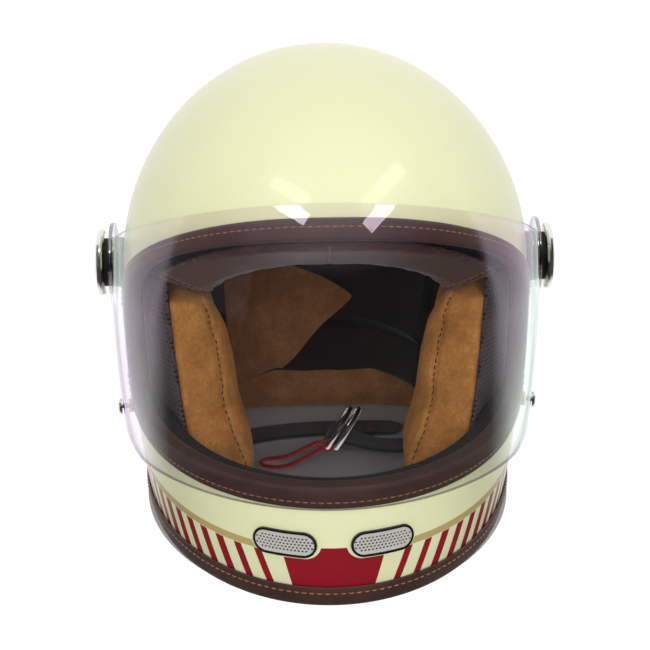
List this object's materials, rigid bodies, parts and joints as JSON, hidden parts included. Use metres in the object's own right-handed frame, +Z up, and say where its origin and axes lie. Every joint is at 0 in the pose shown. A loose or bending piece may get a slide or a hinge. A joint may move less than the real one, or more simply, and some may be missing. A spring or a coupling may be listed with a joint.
{
  "type": "full-face motorcycle helmet",
  "caption": "Retro full-face motorcycle helmet with a clear bubble visor on turned knobs, leather edging, suede padding and a D-ring chin strap.",
  "frame": {"origin": "centre of the footprint, on the surface the helmet stands on", "axes": "+Z up, the front faces -Y, +X is the wearer's left"},
  "size_m": [0.2778, 0.339, 0.271],
  "materials": {
    "shell_paint": "gloss",
    "foam_black": "matte",
    "suede_tan": "matte",
    "leather_brown": "satin",
    "leather_perforated": "matte",
    "bezel_black": "satin",
    "grille_steel": "satin",
    "filter_foam": "matte",
    "visor_clear": "gloss",
    "plastic_black": "satin",
    "brass": "satin",
    "rubber_black": "matte",
    "knob_chrome": "gloss",
    "ring_steel": "gloss",
    "webbing_black": "matte",
    "cord_red": "matte",
    "stitch_thread": "matte"
  },
  "bodies": {
    "root": {"shell": "shell_paint", "crown_foam": "foam_black", "chin_foam": "foam_black", "cheek_foam_left": "foam_black", "cheek_foam_right": "foam_black", "crown_liner": "suede_tan", "brow_pad": "leather_brown", "cheek_pad_left": "suede_tan", "cheek_pad_right": "suede_tan", "neck_roll": "suede_tan", "chin_lining": "leather_perforated", "eyeport_trim": "leather_brown", "neck_trim": "leather_brown", "vent_bezel_left": "bezel_black", "vent_bezel_right": "bezel_black", "vent_grille_left": "grille_steel", "vent_grille_right": "grille_steel", "vent_filter_left": "filter_foam", "vent_filter_right": "filter_foam", "pivot_bush_left": "plastic_black", "pivot_bush_right": "plastic_black", "pivot_insert_left": "brass", "pivot_insert_right": "brass", "pivot_washer_left": "rubber_black", "pivot_washer_right": "rubber_black", "stud_base_left": "brass", "stud_base_right": "brass", "strap_plate_left": "ring_steel", "strap_plate_right": "ring_steel", "strap_rivet_left": "ring_steel", "strap_rivet_right": "ring_steel", "strap_anchor_left": "webbing_black", "strap_anchor_right": "webbing_black", "liner_studs": "plastic_black"},
    "visor": {"visor": "visor_clear", "stud_cap_left": "brass", "stud_cap_right": "brass"},
    "knob_left": {"pivot_knob_left": "knob_chrome", "knob_cap_left": "brass"},
    "knob_right": {"pivot_knob_right": "knob_chrome", "knob_cap_right": "brass"},
    "strap_left": {"strap_left": "webbing_black", "cord_hitch": "cord_red", "pull_cord": "cord_red"},
    "strap_right": {"strap_right": "webbing_black"},
    "d_ring_outer": {"d_ring_outer": "ring_steel"},
    "d_ring_inner": {"d_ring_inner": "ring_steel"}
  },
  "joints": [
    {"name": "visor_hinge", "type": "hinge", "parent": "root", "child": "visor", "pos_m": [0, 0.0045, 0.143], "axis": [-1, 0, 0], "range_deg": [0, 65]},
    {"name": "knob_left_turn", "type": "hinge", "parent": "root", "child": "knob_left", "pos_m": [0.135, 0.0045, 0.143], "axis": [1, 0, 0], "continuous": true},
    {"name": "knob_right_turn", "type": "hinge", "parent": "root", "child": "knob_right", "pos_m": [-0.135, 0.0045, 0.143], "axis": [-1, 0, 0], "continuous": true},
    {"name": "strap_left_swing", "type": "hinge", "parent": "root", "child": "strap_left", "pos_m": [0.0805, 0.037, 0.0044], "axis": [0, 1, 0], "range_deg": [0, 28]},
    {"name": "strap_right_swing", "type": "hinge", "parent": "root", "child": "strap_right", "pos_m": [-0.0805, 0.037, 0.0044], "axis": [0, -1, 0], "range_deg": [0, 46]},
    {"name": "ring_outer_fold", "type": "hinge", "parent": "strap_left", "child": "d_ring_outer", "pos_m": [0.00406, 0.01857, 0.017], "axis": [-0.2079, -0.9781, 0], "range_deg": [-25, 87]},
    {"name": "ring_inner_fold", "type": "hinge", "parent": "strap_left", "child": "d_ring_inner", "pos_m": [0.00944, 0.01743, 0.017], "axis": [-0.2079, -0.9781, 0], "range_deg": [-25, 87]}
  ],
  "couplings": [
    {"joint": "ring_inner_fold", "follows": "ring_outer_fold", "ratio": 1}
  ]
}
